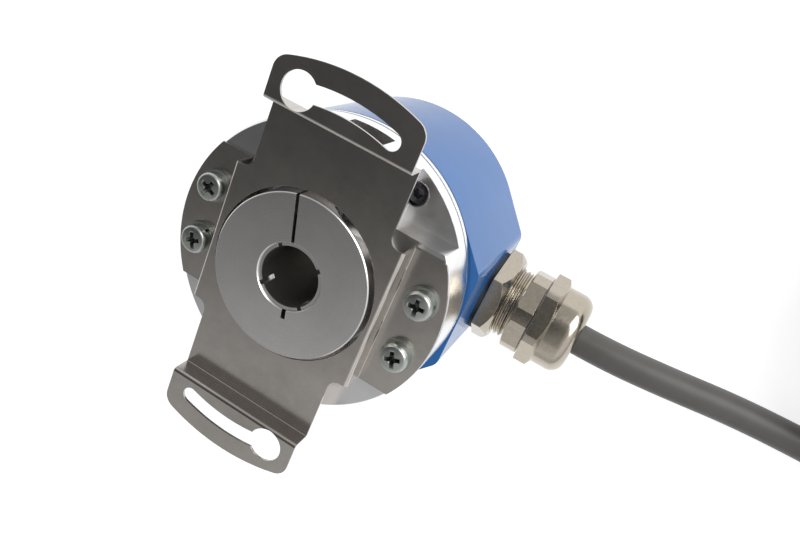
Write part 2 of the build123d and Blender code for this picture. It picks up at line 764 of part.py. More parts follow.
# ------------------------------------------------------------------------ write parts
def main():
    save("cover", make_cover())
    save("cover_gasket", make_cover_gasket())
    save("flange", make_flange())
    save("housing_screws", make_housing_screws())
    save("stator_coupling", make_stator_coupling())
    save("coupling_screws", make_coupling_screws())
    save("coupling_washers", make_coupling_washers())
    save("coupling_spring_washers", make_spring_washers())
    save("hollow_shaft", make_hollow_shaft())
    save("clamp_ring", make_clamp_ring())
    save("clamp_screw", make_clamp_screw())
    for name, z0 in (("rear", REAR_BEARING_Z), ("front", FRONT_BEARING_Z)):
        inner_ring, outer_ring, balls, cage, shields = make_bearing(z0)
        save(name + "_bearing_inner_ring", inner_ring)
        save(name + "_bearing_outer_ring", outer_ring)
        save(name + "_bearing_balls", balls)
        save(name + "_bearing_cage", cage)
        save(name + "_bearing_shields", shields)
    inner_spacer, outer_spacer = make_bearing_spacers()
    save("inner_bearing_spacer", inner_spacer)
    save("outer_bearing_spacer", outer_spacer)
    save("bearing_preload_washer", make_preload_washer())
    save("housing_circlip", circlip(10.9, 12.65, 30.05, 0.9, 0.9, 11.6, 24))
    shaft_circlip = circlip(CIRCLIP_GROOVE_R, 8.6, 31.1, 0.8, 0.75, 8.2, 30)
    save("shaft_circlip", Rot(0, 0, 180) * shaft_circlip)
    save("shaft_seal", make_shaft_seal())
    save("disc_hub", make_disc_hub())
    save("disc_hub_screw", make_disc_hub_screw())
    save("code_disc", make_code_disc())
    save("disc_clamp_ring", make_disc_clamp())
    save("disc_screws", make_disc_screws())
    save("circuit_board", make_board())
    save("board_standoffs", make_standoffs())
    save("board_screws", make_board_screws())
    save("optical_sensor", make_sensor())
    save("sensor_mask", make_mask())
    save("light_holder", make_light_holder())
    save("light_emitter", make_light_emitter())
    save("board_chips", make_board_chips())
    save("board_capacitors", make_capacitors())
    save("wire_header", make_header())
    save("wire_plug", make_plug())
    save("inner_wires", make_inner_wires())
    save("cable_lead_in", make_cable_lead_in())
    save("gland_gasket", make_gland_gasket())
    save("gland_locknut", make_gland_locknut())
    save("gland_body", make_gland_body())
    save("gland_seal", make_gland_seal())
    save("gland_claw", make_gland_claw())
    save("gland_cap_nut", make_gland_cap())
    save("cable", cord_tube("cable", cable_route()))
    save("cable_tail", cord_tube("cable_tail", cable_tail_route()))
    save("cable_coil", make_coil())
    save("lead_sleeve", make_end_sleeve())
    save("lead_cores", make_lead_cores())
    save("lead_ferrules", make_lead_ferrules())


main()
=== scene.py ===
import bpy
import bmesh
import json
import math
from mathutils import Matrix, Vector, noise


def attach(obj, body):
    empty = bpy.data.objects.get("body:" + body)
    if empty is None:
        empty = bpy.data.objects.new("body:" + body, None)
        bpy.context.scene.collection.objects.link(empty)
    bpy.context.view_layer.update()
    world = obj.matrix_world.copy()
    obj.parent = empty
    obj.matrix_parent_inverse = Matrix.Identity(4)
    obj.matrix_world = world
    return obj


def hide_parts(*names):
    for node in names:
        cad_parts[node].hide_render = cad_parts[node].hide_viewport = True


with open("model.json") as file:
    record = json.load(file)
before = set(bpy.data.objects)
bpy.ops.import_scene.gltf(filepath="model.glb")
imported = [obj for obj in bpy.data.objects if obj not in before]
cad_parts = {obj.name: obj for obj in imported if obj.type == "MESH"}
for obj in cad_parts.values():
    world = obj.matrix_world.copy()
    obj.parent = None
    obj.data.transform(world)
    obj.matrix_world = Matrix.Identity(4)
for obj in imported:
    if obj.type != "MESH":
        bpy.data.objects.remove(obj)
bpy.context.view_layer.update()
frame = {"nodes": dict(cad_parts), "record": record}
NODES = frame["nodes"]
MM = 0.001

# ------------------------------------------------------------------ sizes, millimetres
GLAND_Z = 13.2
NUT_X = (30.1, 33.9)
THREAD_END = 36.35
BODY_HEX_X = (37.0, 41.0)
CAP_HEX_X = (41.2, 44.8)
GLAND_END = 51.3
THREAD_R = 8.0
THREAD_PITCH = 1.0
GROOVE_R = 7.3
CABLE_R = 3.5
CORE_R = 0.65
SLEEVE_R = 4.1
COIL_CENTRE = (137.0, 42.0)
COIL_INNER = 35.0
COIL_OUTER = 42.0
COIL_TOP = 4 * CABLE_R
END_R = 40.9
END_ANGLE = 146
CORE_CIRCLE_R = 1.6
COUPLING_SCREW_XY = (23.4, 5.9)
SCREW_TURNS = (20, 65, 110, 5)
SPRING_WASHER_Z = (49.0, 49.7)
SCREW_HEAD_TOP = 51.4
SCREW_HEAD_R = 2.9
SCREW_END = 41.7
M3_R = 1.5


# ----------------------------------------------------------------------------- camera
def make_camera():
    """The photograph's view: close, from above on the gland's side, rolled to its left."""
    target = Vector((16.85, 9.98, 48.0)) * MM
    azimuth = math.radians(61.94)
    elevation = math.radians(62.65)
    distance = 143.36 * MM
    roll = math.radians(-125.1)
    flat = math.cos(elevation)
    back = Vector((math.cos(azimuth) * flat, math.sin(azimuth) * flat, math.sin(elevation)))
    data = bpy.data.cameras.new("camera")
    data.sensor_width = 36.0
    data.lens = 35.3
    data.clip_start = 0.005
    data.clip_end = 20.0
    camera = bpy.data.objects.new("camera", data)
    level = (-back).to_track_quat("-Z", "Y").to_matrix()
    camera.rotation_euler = (level @ Matrix.Rotation(roll, 3, "Z")).to_euler()
    camera.location = target + back * distance
    bpy.context.scene.collection.objects.link(camera)
    bpy.context.scene.camera = camera


make_camera()


# --------------------------------------------------------------------- shader helpers
class Graph:
    """A node tree under construction: adds shader nodes and links them."""

    def __init__(self, tree):
        self.tree = tree

    def add(self, kind, **settings):
        node = self.tree.nodes.new("ShaderNode" + kind)
        for key, value in settings.items():
            setattr(node, key, value)
        return node

    def link(self, source, output, target, name):
        self.tree.links.new(source.outputs[output], target.inputs[name])

    def coordinates(self, scale=(1.0, 1.0, 1.0)):
        """Object coordinates in millimetres, stretched by scale."""
        place = self.add("TexCoord")
        stretch = self.add("Mapping")
        stretch.inputs["Scale"].default_value = [s / MM for s in scale]
        self.link(place, "Object", stretch, "Vector")
        return stretch

    def noise(self, source, scale, detail, roughness):
        node = self.add("TexNoise")
        node.inputs["Scale"].default_value = scale
        node.inputs["Detail"].default_value = detail
        node.inputs["Roughness"].default_value = roughness
        self.link(source, "Vector", node, "Vector")
        return node

    def scaled(self, source, output, factor):
        node = self.add("Math", operation="MULTIPLY")
        self.link(source, output, node, 0)
        node.inputs[1].default_value = factor
        return node

    def ramp(self, source, output, stops):
        node = self.add("ValToRGB")
        elements = node.color_ramp.elements
        while len(elements) < len(stops):
            elements.new(0.5)
        for element, (position, colour) in zip(elements, stops):
            element.position = position
            element.color = (*colour, 1.0)
        self.link(source, output, node, "Fac")
        return node

    def spread(self, source, output, low, high):
        """Map 0..1 to low..high for a number socket."""
        node = self.add("MapRange")
        node.inputs["To Min"].default_value = low
        node.inputs["To Max"].default_value = high
        self.link(source, output, node, "Value")
        return node

    def worn_edge(self, radius):
        """A normal that rounds every edge by a radius in millimetres."""
        node = self.add("Bevel", samples=6)
        node.inputs["Radius"].default_value = radius * MM
        return node

    def bump(self, source, output, depth, below=None):
        node = self.add("Bump")
        node.inputs["Distance"].default_value = depth * MM
        self.link(source, output, node, "Height")
        if below is not None:
            self.link(below, "Normal", node, "Normal")
        return node

    def around_shaft(self, fineness):
        """Coordinates that change only with the radius and the height, as a lathe cuts."""
        split = self.add("SeparateXYZ")
        self.link(self.coordinates(), "Vector", split, "Vector")
        flat = self.add("CombineXYZ")
        for name in "XY":
            self.link(split, name, flat, name)
        radius = self.add("VectorMath", operation="LENGTH")
        self.link(flat, "Vector", radius, 0)
        joined = self.add("CombineXYZ")
        self.link(self.scaled(radius, "Value", fineness), "Value", joined, "X")
        self.link(self.scaled(split, "Z", fineness), "Value", joined, "Y")
        return joined


class Finish(Graph):
    """A material under construction, round one Principled shader."""

    def __init__(self, name):
        self.material = bpy.data.materials.new(name)
        self.material.use_nodes = True
        super().__init__(self.material.node_tree)
        self.shader = self.tree.nodes["Principled BSDF"]

    def set(self, **values):
        for key, value in values.items():
            self.shader.inputs[key.replace("_", " ")].default_value = value


def tint(colour, factor):
    return tuple(min(1.0, c * factor) for c in colour)


# ------------------------------------------------------------------------ material kinds
def turned_metal(name, colour, low, high, depth=0.003):
    """Metal off the lathe: fine concentric marks, a little soiling, soft streaks."""
    g = Finish(name)
    rings = g.noise(g.around_shaft(7.0), scale=1.0, detail=5.0, roughness=0.75)
    cloud = g.noise(g.coordinates(), scale=0.16, detail=4.0, roughness=0.55)
    shade = g.ramp(cloud, "Fac", [(0.3, tint(colour, 0.94)), (0.7, tint(colour, 1.03))])
    g.link(shade, "Color", g.shader, "Base Color")
    gloss = g.spread(rings, "Fac", low, high)
    g.link(gloss, "Result", g.shader, "Roughness")
    marks = g.bump(rings, "Fac", depth, g.worn_edge(0.04))
    g.link(marks, "Normal", g.shader, "Normal")
    g.set(Metallic=1.0, Anisotropic=0.3)
    tangent = g.add("Tangent", direction_type="RADIAL", axis="Z")
    g.link(tangent, "Tangent", g.shader, "Tangent")
    return g.material


def rolled_sheet(name, colour, low, high):
    """Cold-rolled stainless sheet: short fine scratches along the rolling direction."""
    g = Finish(name)
    grain = g.noise(g.coordinates((0.5, 9.0, 9.0)), scale=1.0, detail=6.0, roughness=0.75)
    cloud = g.noise(g.coordinates(), scale=0.09, detail=7.0, roughness=0.72)
    shade = g.ramp(cloud, "Fac", [(0.3, tint(colour, 0.86)), (0.7, tint(colour, 1.10))])
    g.link(shade, "Color", g.shader, "Base Color")
    gloss = g.spread(grain, "Fac", low, high)
    g.link(gloss, "Result", g.shader, "Roughness")
    marks = g.bump(grain, "Fac", 0.002, g.worn_edge(0.05))
    g.link(marks, "Normal", g.shader, "Normal")
    g.set(Metallic=1.0)
    return g.material


def plated(name, colour, low, high, ripple=0.006, edge=0.10):
    """Bright plating: nearly smooth, with faint ripples and handling marks."""
    g = Finish(name)
    wave = g.noise(g.coordinates(), scale=0.35, detail=2.0, roughness=0.4)
    smear = g.noise(g.coordinates(), scale=1.3, detail=5.0, roughness=0.65)
    shade = g.ramp(smear, "Fac", [(0.3, tint(colour, 0.9)), (0.65, tint(colour, 1.03))])
    g.link(shade, "Color", g.shader, "Base Color")
    gloss = g.spread(smear, "Fac", low, high)
    g.link(gloss, "Result", g.shader, "Roughness")
    marks = g.bump(wave, "Fac", ripple, g.worn_edge(edge))
    g.link(marks, "Normal", g.shader, "Normal")
    g.set(Metallic=1.0)
    return g.material


def paint(name, colour, deep):
    """Stoved gloss paint: very faint orange peel under a smooth surface."""
    g = Finish(name)
    peel = g.noise(g.coordinates(), scale=0.5, detail=1.0, roughness=0.4)
    cloud = g.noise(g.coordinates(), scale=0.1, detail=3.0, roughness=0.5)
    shade = g.ramp(cloud, "Fac", [(0.3, deep), (0.7, colour)])
    g.link(shade, "Color", g.shader, "Base Color")
    gloss = g.spread(peel, "Fac", 0.12, 0.20)
    g.link(gloss, "Result", g.shader, "Roughness")
    marks = g.bump(peel, "Fac", 0.004)
    g.link(marks, "Normal", g.shader, "Normal")
    g.set(Specular_IOR_Level=0.4)
    return g.material


def moulded(name, colour, low, high, grain=2.2, depth=0.006, specular=0.5):
    """Moulded or extruded plastic and rubber: fine grain and a slightly uneven colour."""
    g = Finish(name)
    fine = g.noise(g.coordinates(), scale=grain, detail=4.0, roughness=0.6)
    cloud = g.noise(g.coordinates(), scale=0.2, detail=3.0, roughness=0.5)
    shade = g.ramp(cloud, "Fac", [(0.3, tint(colour, 0.9)), (0.7, tint(colour, 1.06))])
    g.link(shade, "Color", g.shader, "Base Color")
    gloss = g.spread(fine, "Fac", low, high)
    g.link(gloss, "Result", g.shader, "Roughness")
    marks = g.bump(fine, "Fac", depth)
    g.link(marks, "Normal", g.shader, "Normal")
    g.set(Specular_IOR_Level=specular)
    return g.material


# ------------------------------------------------------------------------------ cords
def nurbs(name, points, radius, material):
    """One smooth round cord whose control points are given in millimetres."""
    curve = bpy.data.curves.new(name, "CURVE")
    curve.dimensions = "3D"
    spline = curve.splines.new("NURBS")
    spline.points.add(len(points) - 1)
    for knot, point in zip(spline.points, points):
        knot.co = (*(Vector(point) * MM), 1.0)
        knot.radius = radius * MM
    spline.order_u = 3
    spline.use_endpoint_u = True
    spline.resolution_u = 8
    # the points' own radius sets the cord's thickness, and Blender measures its box by it
    curve.bevel_depth = 1.0
    curve.bevel_resolution = 8
    curve.use_fill_caps = True
    curve.materials.append(material)
    cord = bpy.data.objects.new(name, curve)
    bpy.context.scene.collection.objects.link(cord)
    return cord


def around_coil(radius, angle, z):
    """A point beside the coil's centre, by radius and angle in degrees."""
    turn = math.radians(angle)
    x, y = COIL_CENTRE
    return (x + radius * math.cos(turn), y + radius * math.sin(turn), z)


def ease(value, start, end):
    """0 before start, 1 after end, smooth between them."""
    t = max(0.0, min(1.0, (value - start) / (end - start)))
    return t * t * (3 - 2 * t)


def coil_turns():
    """Two layers: from the outer to the inner turn on the floor, and back out on top."""
    step = 22.5
    point_count = 50
    start_angle = -90
    inward_arc = (215, 265)
    climb_arc = (455, 510)
    outward_arc = (760, 815)
    # a smooth cord runs inside its control points by this much
    swell = 1 / (0.75 + 0.25 * math.cos(math.radians(step)))
    gap = COIL_OUTER - COIL_INNER
    points = []
    for i in range(point_count):
        angle = start_angle + step * (i + 0.5)
        inward = ease(angle, *inward_arc)
        climb = ease(angle, *climb_arc)
        outward = ease(angle, *outward_arc)
        radius = COIL_OUTER - gap * inward + gap * outward
        height = CABLE_R + 2 * CABLE_R * climb
        points.append(around_coil(radius * swell, angle, height))
    return points


def lead_route():
    """Out of the gland, down to the floor, round the coil and along its top."""
    out = [
        (GLAND_END, 0, GLAND_Z),
        (58.3, 0, GLAND_Z),
        (71.0, 0.3, 11.2),
        (88.0, 0.5, 6.6),
        (105.0, 0, CABLE_R),
        (120.0, 0, CABLE_R),
    ]
    tail = [
        around_coil(42.8, -34, 10.7),
        around_coil(42.9, -12, 12.1),
        around_coil(42.9, 11, 15.0),
        around_coil(42.5, 34, 17.3),
        around_coil(42.0, 57, 17.8),
        around_coil(41.4, 79, 17.7),
        around_coil(41.0, 101, 17.7),
        around_coil(END_R, 124, 18.1),
        around_coil(END_R, END_ANGLE, 18.3),
    ]
    return out + coil_turns() + tail


def core_route(i):
    """One insulated core: out of the sleeve, down onto the coil and along its top."""
    last = Vector(lead_route()[-1])
    flat = last - Vector(lead_route()[-2])
    flat.z = 0
    flat.normalize()
    side = Vector((-flat.y, flat.x, 0))
    angle = math.radians(45 * i + 22.5)
    dy = CORE_CIRCLE_R * math.cos(angle)
    dz = CORE_CIRCLE_R * math.sin(angle)
    # the fan's places alternate between the upper four cores and the lower four
    column, row = (i, 0) if i < 4 else (7 - i, 1)
    place = 3.5 - 2 * column - row
    lying = COIL_TOP + CORE_R
    return [
        last + flat * 0.2 + side * dy + Vector((0, 0, dz)),
        last + flat * 6.0 + side * dy * 1.15 + Vector((0, 0, dz - 0.5)),
        around_coil(END_R - place * 0.95, END_ANGLE + 20, lying + 1.6 - 1.2 * row),
        around_coil(END_R - 0.8 - place * 1.4, END_ANGLE + 33, lying + 0.2),
        around_coil(END_R - 1.6 - place * 1.75, END_ANGLE + 47, lying + 0.1),
    ]


CORE_COLOURS = {
    "white": (0.72, 0.71, 0.67),
    "brown": (0.09, 0.035, 0.015),
    "green": (0.02, 0.20, 0.06),
    "yellow": (0.75, 0.52, 0.03),
    "grey": (0.22, 0.22, 0.23),
    "pink": (0.75, 0.28, 0.32),
    "blue": (0.02, 0.08, 0.40),
    "red": (0.50, 0.02, 0.02),
}
GREY_PVC = moulded(
    "grey_pvc", (0.094, 0.091, 0.084), 0.40, 0.52, grain=1.6, depth=0.008, specular=0.4
)


def make_cores():
    """Eight insulated cores that fan out of the sleeve and lie along the coil."""
    cores = []
    for i, (colour_name, colour) in enumerate(CORE_COLOURS.items()):
        skin = moulded("core_" + colour_name, colour, 0.30, 0.45, grain=3.0, depth=0.004)
        core = nurbs("lead_core_" + colour_name, core_route(i), CORE_R, skin)
        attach(core, "housing")
        cores.append(core)
    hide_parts("lead_cores")
    return cores


def centre_line(cord):
    """The points of a cord's own smooth line, in millimetres."""
    depth = cord.data.bevel_depth
    cord.data.bevel_depth = 0.0
    line = bpy.data.meshes.new_from_object(cord)
    cord.data.bevel_depth = depth
    points = [v.co / MM for v in line.vertices]
    bpy.data.meshes.remove(line)
    return points


def make_sleeve(lead):
    """Heat-shrink sleeve over the jacket's end, drawn in a little where it has no jacket."""
    points = centre_line(lead)
    overlap = 11.0
    mouth = 4.0
    mouth_steps = 6
    wall = 0.45
    segments = 40
    mean_r = SLEEVE_R - 0.08
    crease_depth = 0.05
    pinch_depth = 0.06
    pinch_count = 8
    draw = 0.5
    length = 0.0
    path = [points[-1]]
    for before in reversed(points[:-1]):
        length += (path[-1] - before).length
        path.append(before)
        if length > overlap:
            break
    path.reverse()
    heading = (path[-1] - path[-2]).normalized()
    path += [path[-1] + heading * mouth * k / mouth_steps for k in range(1, mouth_steps + 1)]
    mouth_start = len(path) - mouth_steps - 1
    rings = []
    for i, point in enumerate(path):
        ahead = path[min(i + 1, len(path) - 1)]
        behind = path[max(i - 1, 0)]
        along = (ahead - behind).normalized()
        side = along.cross(Vector((0, 0, 1))).normalized()
        up = side.cross(along)
        drawn_in = ease(i, mouth_start, mouth_start + 4)
        ring = []
        for k in range(segments):
            turn = 2 * math.pi * k / segments
            crease_place = Vector((math.cos(turn) * 2, math.sin(turn) * 2, i * 0.5))
            crease = crease_depth * noise.noise(crease_place)
            pinch = pinch_depth * math.cos(pinch_count * turn) * drawn_in
            radius = mean_r + crease - draw * drawn_in + pinch
            ring.append(point + (side * math.cos(turn) + up * math.sin(turn)) * radius)
        rings.append(ring)
    inner = []
    for centre, ring in zip(path, rings):
        inner.append([p + (centre - p).normalized() * wall for p in ring])
    sleeve = web("heat_shrink_sleeve", rings + inner[::-1], closed=True)
    skin = moulded("sleeve", (0.02, 0.02, 0.022), 0.4, 0.55)
    finish_piece(sleeve, "housing", skin)
    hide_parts("lead_sleeve")
    return sleeve


# -------------------------------------------------------------------- mesh building
def web(name, rings, closed=False, cap_start=False, cap_end=False, sharp=30.0):
    """A surface through rings of equally many points, which are given in millimetres."""
    shape = bmesh.new()
    rows = [[shape.verts.new(Vector(p) * MM) for p in ring] for ring in rings]
    count = len(rows[0])
    pairs = list(zip(rows, rows[1:]))
    if closed:
        pairs.append((rows[-1], rows[0]))
    for low, high in pairs:
        for k in range(count):
            after = (k + 1) % count
            shape.faces.new((low[k], low[after], high[after], high[k]))
    if cap_start:
        shape.faces.new(rows[0][::-1])
    if cap_end:
        shape.faces.new(rows[-1])
    bmesh.ops.recalc_face_normals(shape, faces=shape.faces)
    mesh = bpy.data.meshes.new(name)
    shape.to_mesh(mesh)
    shape.free()
    for face in mesh.polygons:
        face.use_smooth = True
    mesh.set_sharp_from_angle(angle=math.radians(sharp))
    piece = bpy.data.objects.new(name, mesh)
    bpy.context.scene.collection.objects.link(piece)
    return piece


def finish_piece(piece, body, material):
    piece.data.materials.append(material)
    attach(piece, body)


def steps(start, end, count):
    """count + 1 evenly spaced values from start to end."""
    return [start + (end - start) * k / count for k in range(count + 1)]


# ---------------------------------------------------------------------- gland pieces
class Hexagon:
    """A hexagon about the gland's axis whose corners are turned down to a radius."""

    def __init__(self, across_flats, corner, turned_r):
        self.flat_r = across_flats / 2
        self.corner = corner
        self.turned_r = turned_r
        self.arc = 30 - math.degrees(math.acos(self.flat_r / turned_r))

    def angles(self):
        """Directions that meet both ends of every turned corner."""
        side = [self.arc * k / 3 for k in range(-3, 4)]
        side += steps(self.arc, 60 - self.arc, 10)[1:-1]
        return [self.corner + 60 * k + offset for k in range(6) for offset in side]

    def outline(self, inset=0.0):
        """The outline's radius as a function of the direction."""

        def radius(angle):
            off_flat = (angle - self.corner) % 60 - 30
            return min(self.turned_r, self.flat_r / math.cos(math.radians(off_flat))) - inset

        return radius

    def ring(self, x, radius):
        """A ring about the axis; x and radius are numbers or functions of the direction."""
        points = []
        for angle in self.angles():
            r = radius(angle) if callable(radius) else radius
            place = x(angle) if callable(x) else x
            turn = math.radians(angle)
            points.append((place, r * math.cos(turn), GLAND_Z + r * math.sin(turn)))
        return points

    def bevelled_end(self, face_x, cone_r, slope):
        """Where a cone through cone_r on the end face cuts the hexagon's sides."""
        radius = self.outline()
        rate = math.tan(math.radians(slope))
        return lambda angle: face_x - max(0.1, radius(angle) - cone_r) * rate


def make_locknut(material):
    shape = Hexagon(across_flats=19.0, corner=-5.0, turned_r=10.9)
    outline = shape.outline()
    edge = 0.12
    cone_r = 9.3
    countersink = 0.4
    x0, x1 = NUT_X
    rings = [
        shape.ring(x0, THREAD_R),
        shape.ring(x0, shape.outline(edge)),
        shape.ring(x0 + edge, outline),
        shape.ring(shape.bevelled_end(x1, cone_r, slope=45), outline),
        shape.ring(x1, cone_r - 0.1),
        shape.ring(x1, THREAD_R + countersink),
        shape.ring(x1 - countersink, THREAD_R),
    ]
    nut = web("gland_locknut_piece", rings, closed=True, sharp=15)
    finish_piece(nut, "housing", material)
    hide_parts("gland_locknut")


def thread_radius(x):
    """The helical thread's radius at a place along the axis, for every direction."""
    crest_r = THREAD_R - 0.02
    depth = 0.52
    root_end = 0.1
    crest_start = 0.85

    def radius(angle):
        phase = (x / THREAD_PITCH - angle / 360) % 1.0
        rise = 1 - abs(2 * phase - 1)
        return crest_r - depth + depth * ease(rise, root_end, crest_start)

    return radius


def make_gland_body(material):
    shape = Hexagon(across_flats=17.8, corner=18.3, turned_r=9.5)
    outline = shape.outline()
    x0, x1 = BODY_HEX_X
    inner_end = 22.0
    collar_end = 46.0
    collar_r = 7.9
    bore = 4.3
    seal_seat_x = 40.2
    seal_seat_r = 5.55
    cone_r = 8.95
    cone_rate = 0.6
    edge = 0.12
    thread_rings = 230
    rings = [shape.ring(inner_end, bore), shape.ring(inner_end, THREAD_R - 0.7)]
    for x in steps(inner_end + 0.3, THREAD_END, thread_rings):
        rings.append(shape.ring(x, thread_radius(x)))
    rings += [
        shape.ring(THREAD_END + 0.1, GROOVE_R),
        shape.ring(x0, GROOVE_R),
        shape.ring(x0, cone_r),
        shape.ring(lambda angle: x0 + max(0.1, outline(angle) - cone_r) * cone_rate, outline),
        shape.ring(x1 - edge, outline),
        shape.ring(x1, shape.outline(edge)),
        shape.ring(x1, collar_r),
        shape.ring(collar_end, collar_r),
        shape.ring(collar_end, seal_seat_r),
        shape.ring(seal_seat_x, seal_seat_r),
        shape.ring(seal_seat_x, bore),
    ]
    body = web("gland_body_piece", rings, closed=True, sharp=15)
    finish_piece(body, "housing", material)
    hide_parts("gland_body")


def make_cap_nut(material):
    shape = Hexagon(across_flats=19.2, corner=36.5, turned_r=10.6)
    outline = shape.outline()
    edge = 0.15
    cone_r = 9.4
    dome_r = 9.2
    fillet_r = 3.0
    inside_r = 7.95
    inside_end = 46.7
    lip_r = 3.92
    lip_start = 50.3
    x0, x1 = CAP_HEX_X
    shoulder = GLAND_END - fillet_r
    rings = [
        shape.ring(x0, inside_r),
        shape.ring(x0, shape.outline(edge)),
        shape.ring(x0 + edge, outline),
        shape.ring(shape.bevelled_end(x1, cone_r, slope=32), outline),
        shape.ring(x1, cone_r),
        shape.ring(x1 + edge, dome_r),
        shape.ring(shoulder, dome_r),
    ]
    for turn in steps(0, math.pi / 2, 12)[1:]:
        radius = dome_r - fillet_r + fillet_r * math.cos(turn)
        rings.append(shape.ring(shoulder + fillet_r * math.sin(turn), radius))
    rings += [
        shape.ring(GLAND_END, lip_r + 0.38),
        shape.ring(GLAND_END - 0.12, lip_r + 0.13),
        shape.ring(GLAND_END - 0.4, lip_r),
        shape.ring(lip_start, lip_r),
        shape.ring(lip_start, 4.7),
        shape.ring(inside_end, 7.0),
        shape.ring(inside_end, inside_r),
    ]
    cap = web("gland_cap_nut_piece", rings, closed=True, sharp=15)
    finish_piece(cap, "housing", material)
    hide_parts("gland_cap_nut")


# ----------------------------------------------------------------- screws and washers
RECESS_ARM = 1.62
RECESS_HALF_WIDTH = 0.42
RECESS_CORE = 0.78


def recess_angles():
    """Directions, in degrees, that meet every corner of the cross recess."""
    tip = math.degrees(math.atan2(RECESS_HALF_WIDTH, RECESS_ARM))
    half = [tip / 2, tip, tip + 5, tip + 12, tip + 19, 40]
    offsets = [-45] + [-h for h in reversed(half)] + [0] + half
    return [quarter + offset for quarter in (0, 90, 180, 270) for offset in offsets]


def recess_radius(angle):
    """The outline of the cross recess: four arms with flat tips round a small core."""
    off = abs((angle + 45) % 90 - 45)
    across = math.sin(math.radians(off))
    along = math.cos(math.radians(off))
    at_tip = across * RECESS_ARM <= RECESS_HALF_WIDTH * along
    reach = RECESS_ARM / along if at_tip else RECESS_HALF_WIDTH / across
    return max(reach, RECESS_CORE / math.cos(math.radians(45 - off)))


def screw_rings(top):
    """The recess floor first, then the pan head and the shank, about the Z axis."""
    angles = recess_angles()
    outline = [recess_radius(angle) for angle in angles]
    shoulder = 2.3
    brow = SCREW_HEAD_R - shoulder
    brow_drop = 0.85
    dome_rate = 0.03
    recess_floor = top - 1.75
    seat = SPRING_WASHER_Z[1]

    def crown(r):
        """The head's height at a radius: slightly domed, then a rounded brow."""
        past = max(0.0, min(1.0, (r - shoulder) / brow))
        return top - dome_rate * r * r - brow_drop * (1 - math.sqrt(1 - past * past))

    def ring(radii, height):
        points = []
        for angle, r in zip(angles, radii):
            z = height(r) if callable(height) else height
            turn = math.radians(angle)
            points.append((r * math.cos(turn), r * math.sin(turn), z))
        return points

    count = len(angles)
    rings = [
        ring([0.04] * count, recess_floor),
        ring([0.62 * r for r in outline], recess_floor + 0.3),
        ring([0.93 * r for r in outline], lambda r: crown(r) - 0.16),
        ring(outline, lambda r: crown(r) - 0.04),
        ring([1.05 * r for r in outline], crown),
    ]
    for share in (0.4, 0.75):
        rings.append(ring([r * 1.05 * (1 - share) + shoulder * share for r in outline], crown))
    for turn in steps(0, math.pi / 2, 8):
        rings.append(ring([shoulder + brow * math.sin(turn)] * count, crown))
    rings += [
        ring([SCREW_HEAD_R] * count, seat + 0.15),
        ring([SCREW_HEAD_R - 0.12] * count, seat),
        ring([M3_R] * count, seat),
        ring([M3_R] * count, SCREW_END + 0.3),
        ring([M3_R - 0.3] * count, SCREW_END),
    ]
    return rings


def washer_sections(x, y, turn):
    """A split washer as sections round its hole, one end a little higher than the other."""
    z0, z1 = SPRING_WASHER_Z
    inner, outer = M3_R + 0.1, 2.75
    half_gap = 7.0
    section_count = 72
    end_lift = 0.06
    edge = 0.06
    sections = []
    for angle in steps(turn + half_gap, turn + 360 - half_gap, section_count):
        lift = end_lift * ((angle - turn - 180) / 180)
        corners = [(inner, z0), (outer - edge, z0), (outer, z0 + edge)]
        corners += [(outer, z1 - edge), (outer - edge, z1), (inner, z1)]
        a = math.radians(angle)
        section = [(x + r * math.cos(a), y + r * math.sin(a), z + lift) for r, z in corners]
        sections.append(section)
    return sections


def make_coupling_screws(finishes):
    """The four screws of the stator coupling, with a split washer under each head."""
    x, y = COUPLING_SCREW_XY
    places = [(sx * x, sy * y) for sx in (-1, 1) for sy in (-1, 1)]
    for i, ((px, py), turn) in enumerate(zip(places, SCREW_TURNS)):
        rings = screw_rings(SCREW_HEAD_TOP)
        spin = Matrix.Rotation(math.radians(turn), 3, "Z")
        placed = [[spin @ Vector(p) + Vector((px, py, 0)) for p in ring] for ring in rings]
        name = "coupling_screw_" + str(i + 1)
        screw = web(name, placed, cap_start=True, cap_end=True, sharp=28)
        finish_piece(screw, "housing", finishes["zinc_plate"])
        # the recess is the first three bands and its floor, and gets a darker zinc as painted
        # shade
        screw.data.materials.append(finishes["recess_shade_zinc"])
        recess_faces = 3 * len(rings[0])
        for face in list(screw.data.polygons)[:recess_faces] + [screw.data.polygons[-2]]:
            face.material_index = 1
        name = "split_washer_" + str(i + 1)
        sections = washer_sections(px, py, turn * 3)
        washer = web(name, sections, cap_start=True, cap_end=True)
        finish_piece(washer, "housing", finishes["zinc_plate"])
        if i == 0:
            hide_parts("coupling_screws")
            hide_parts("coupling_spring_washers")


# --------------------------------------------------------------------------- the lead
def make_lead():
    lead = nurbs("lead", lead_route(), CABLE_R, GREY_PVC)
    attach(lead, "housing")
    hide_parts("cable", "cable_coil", "cable_tail")
    cores = make_cores()
    sleeve = make_sleeve(lead)


make_lead()


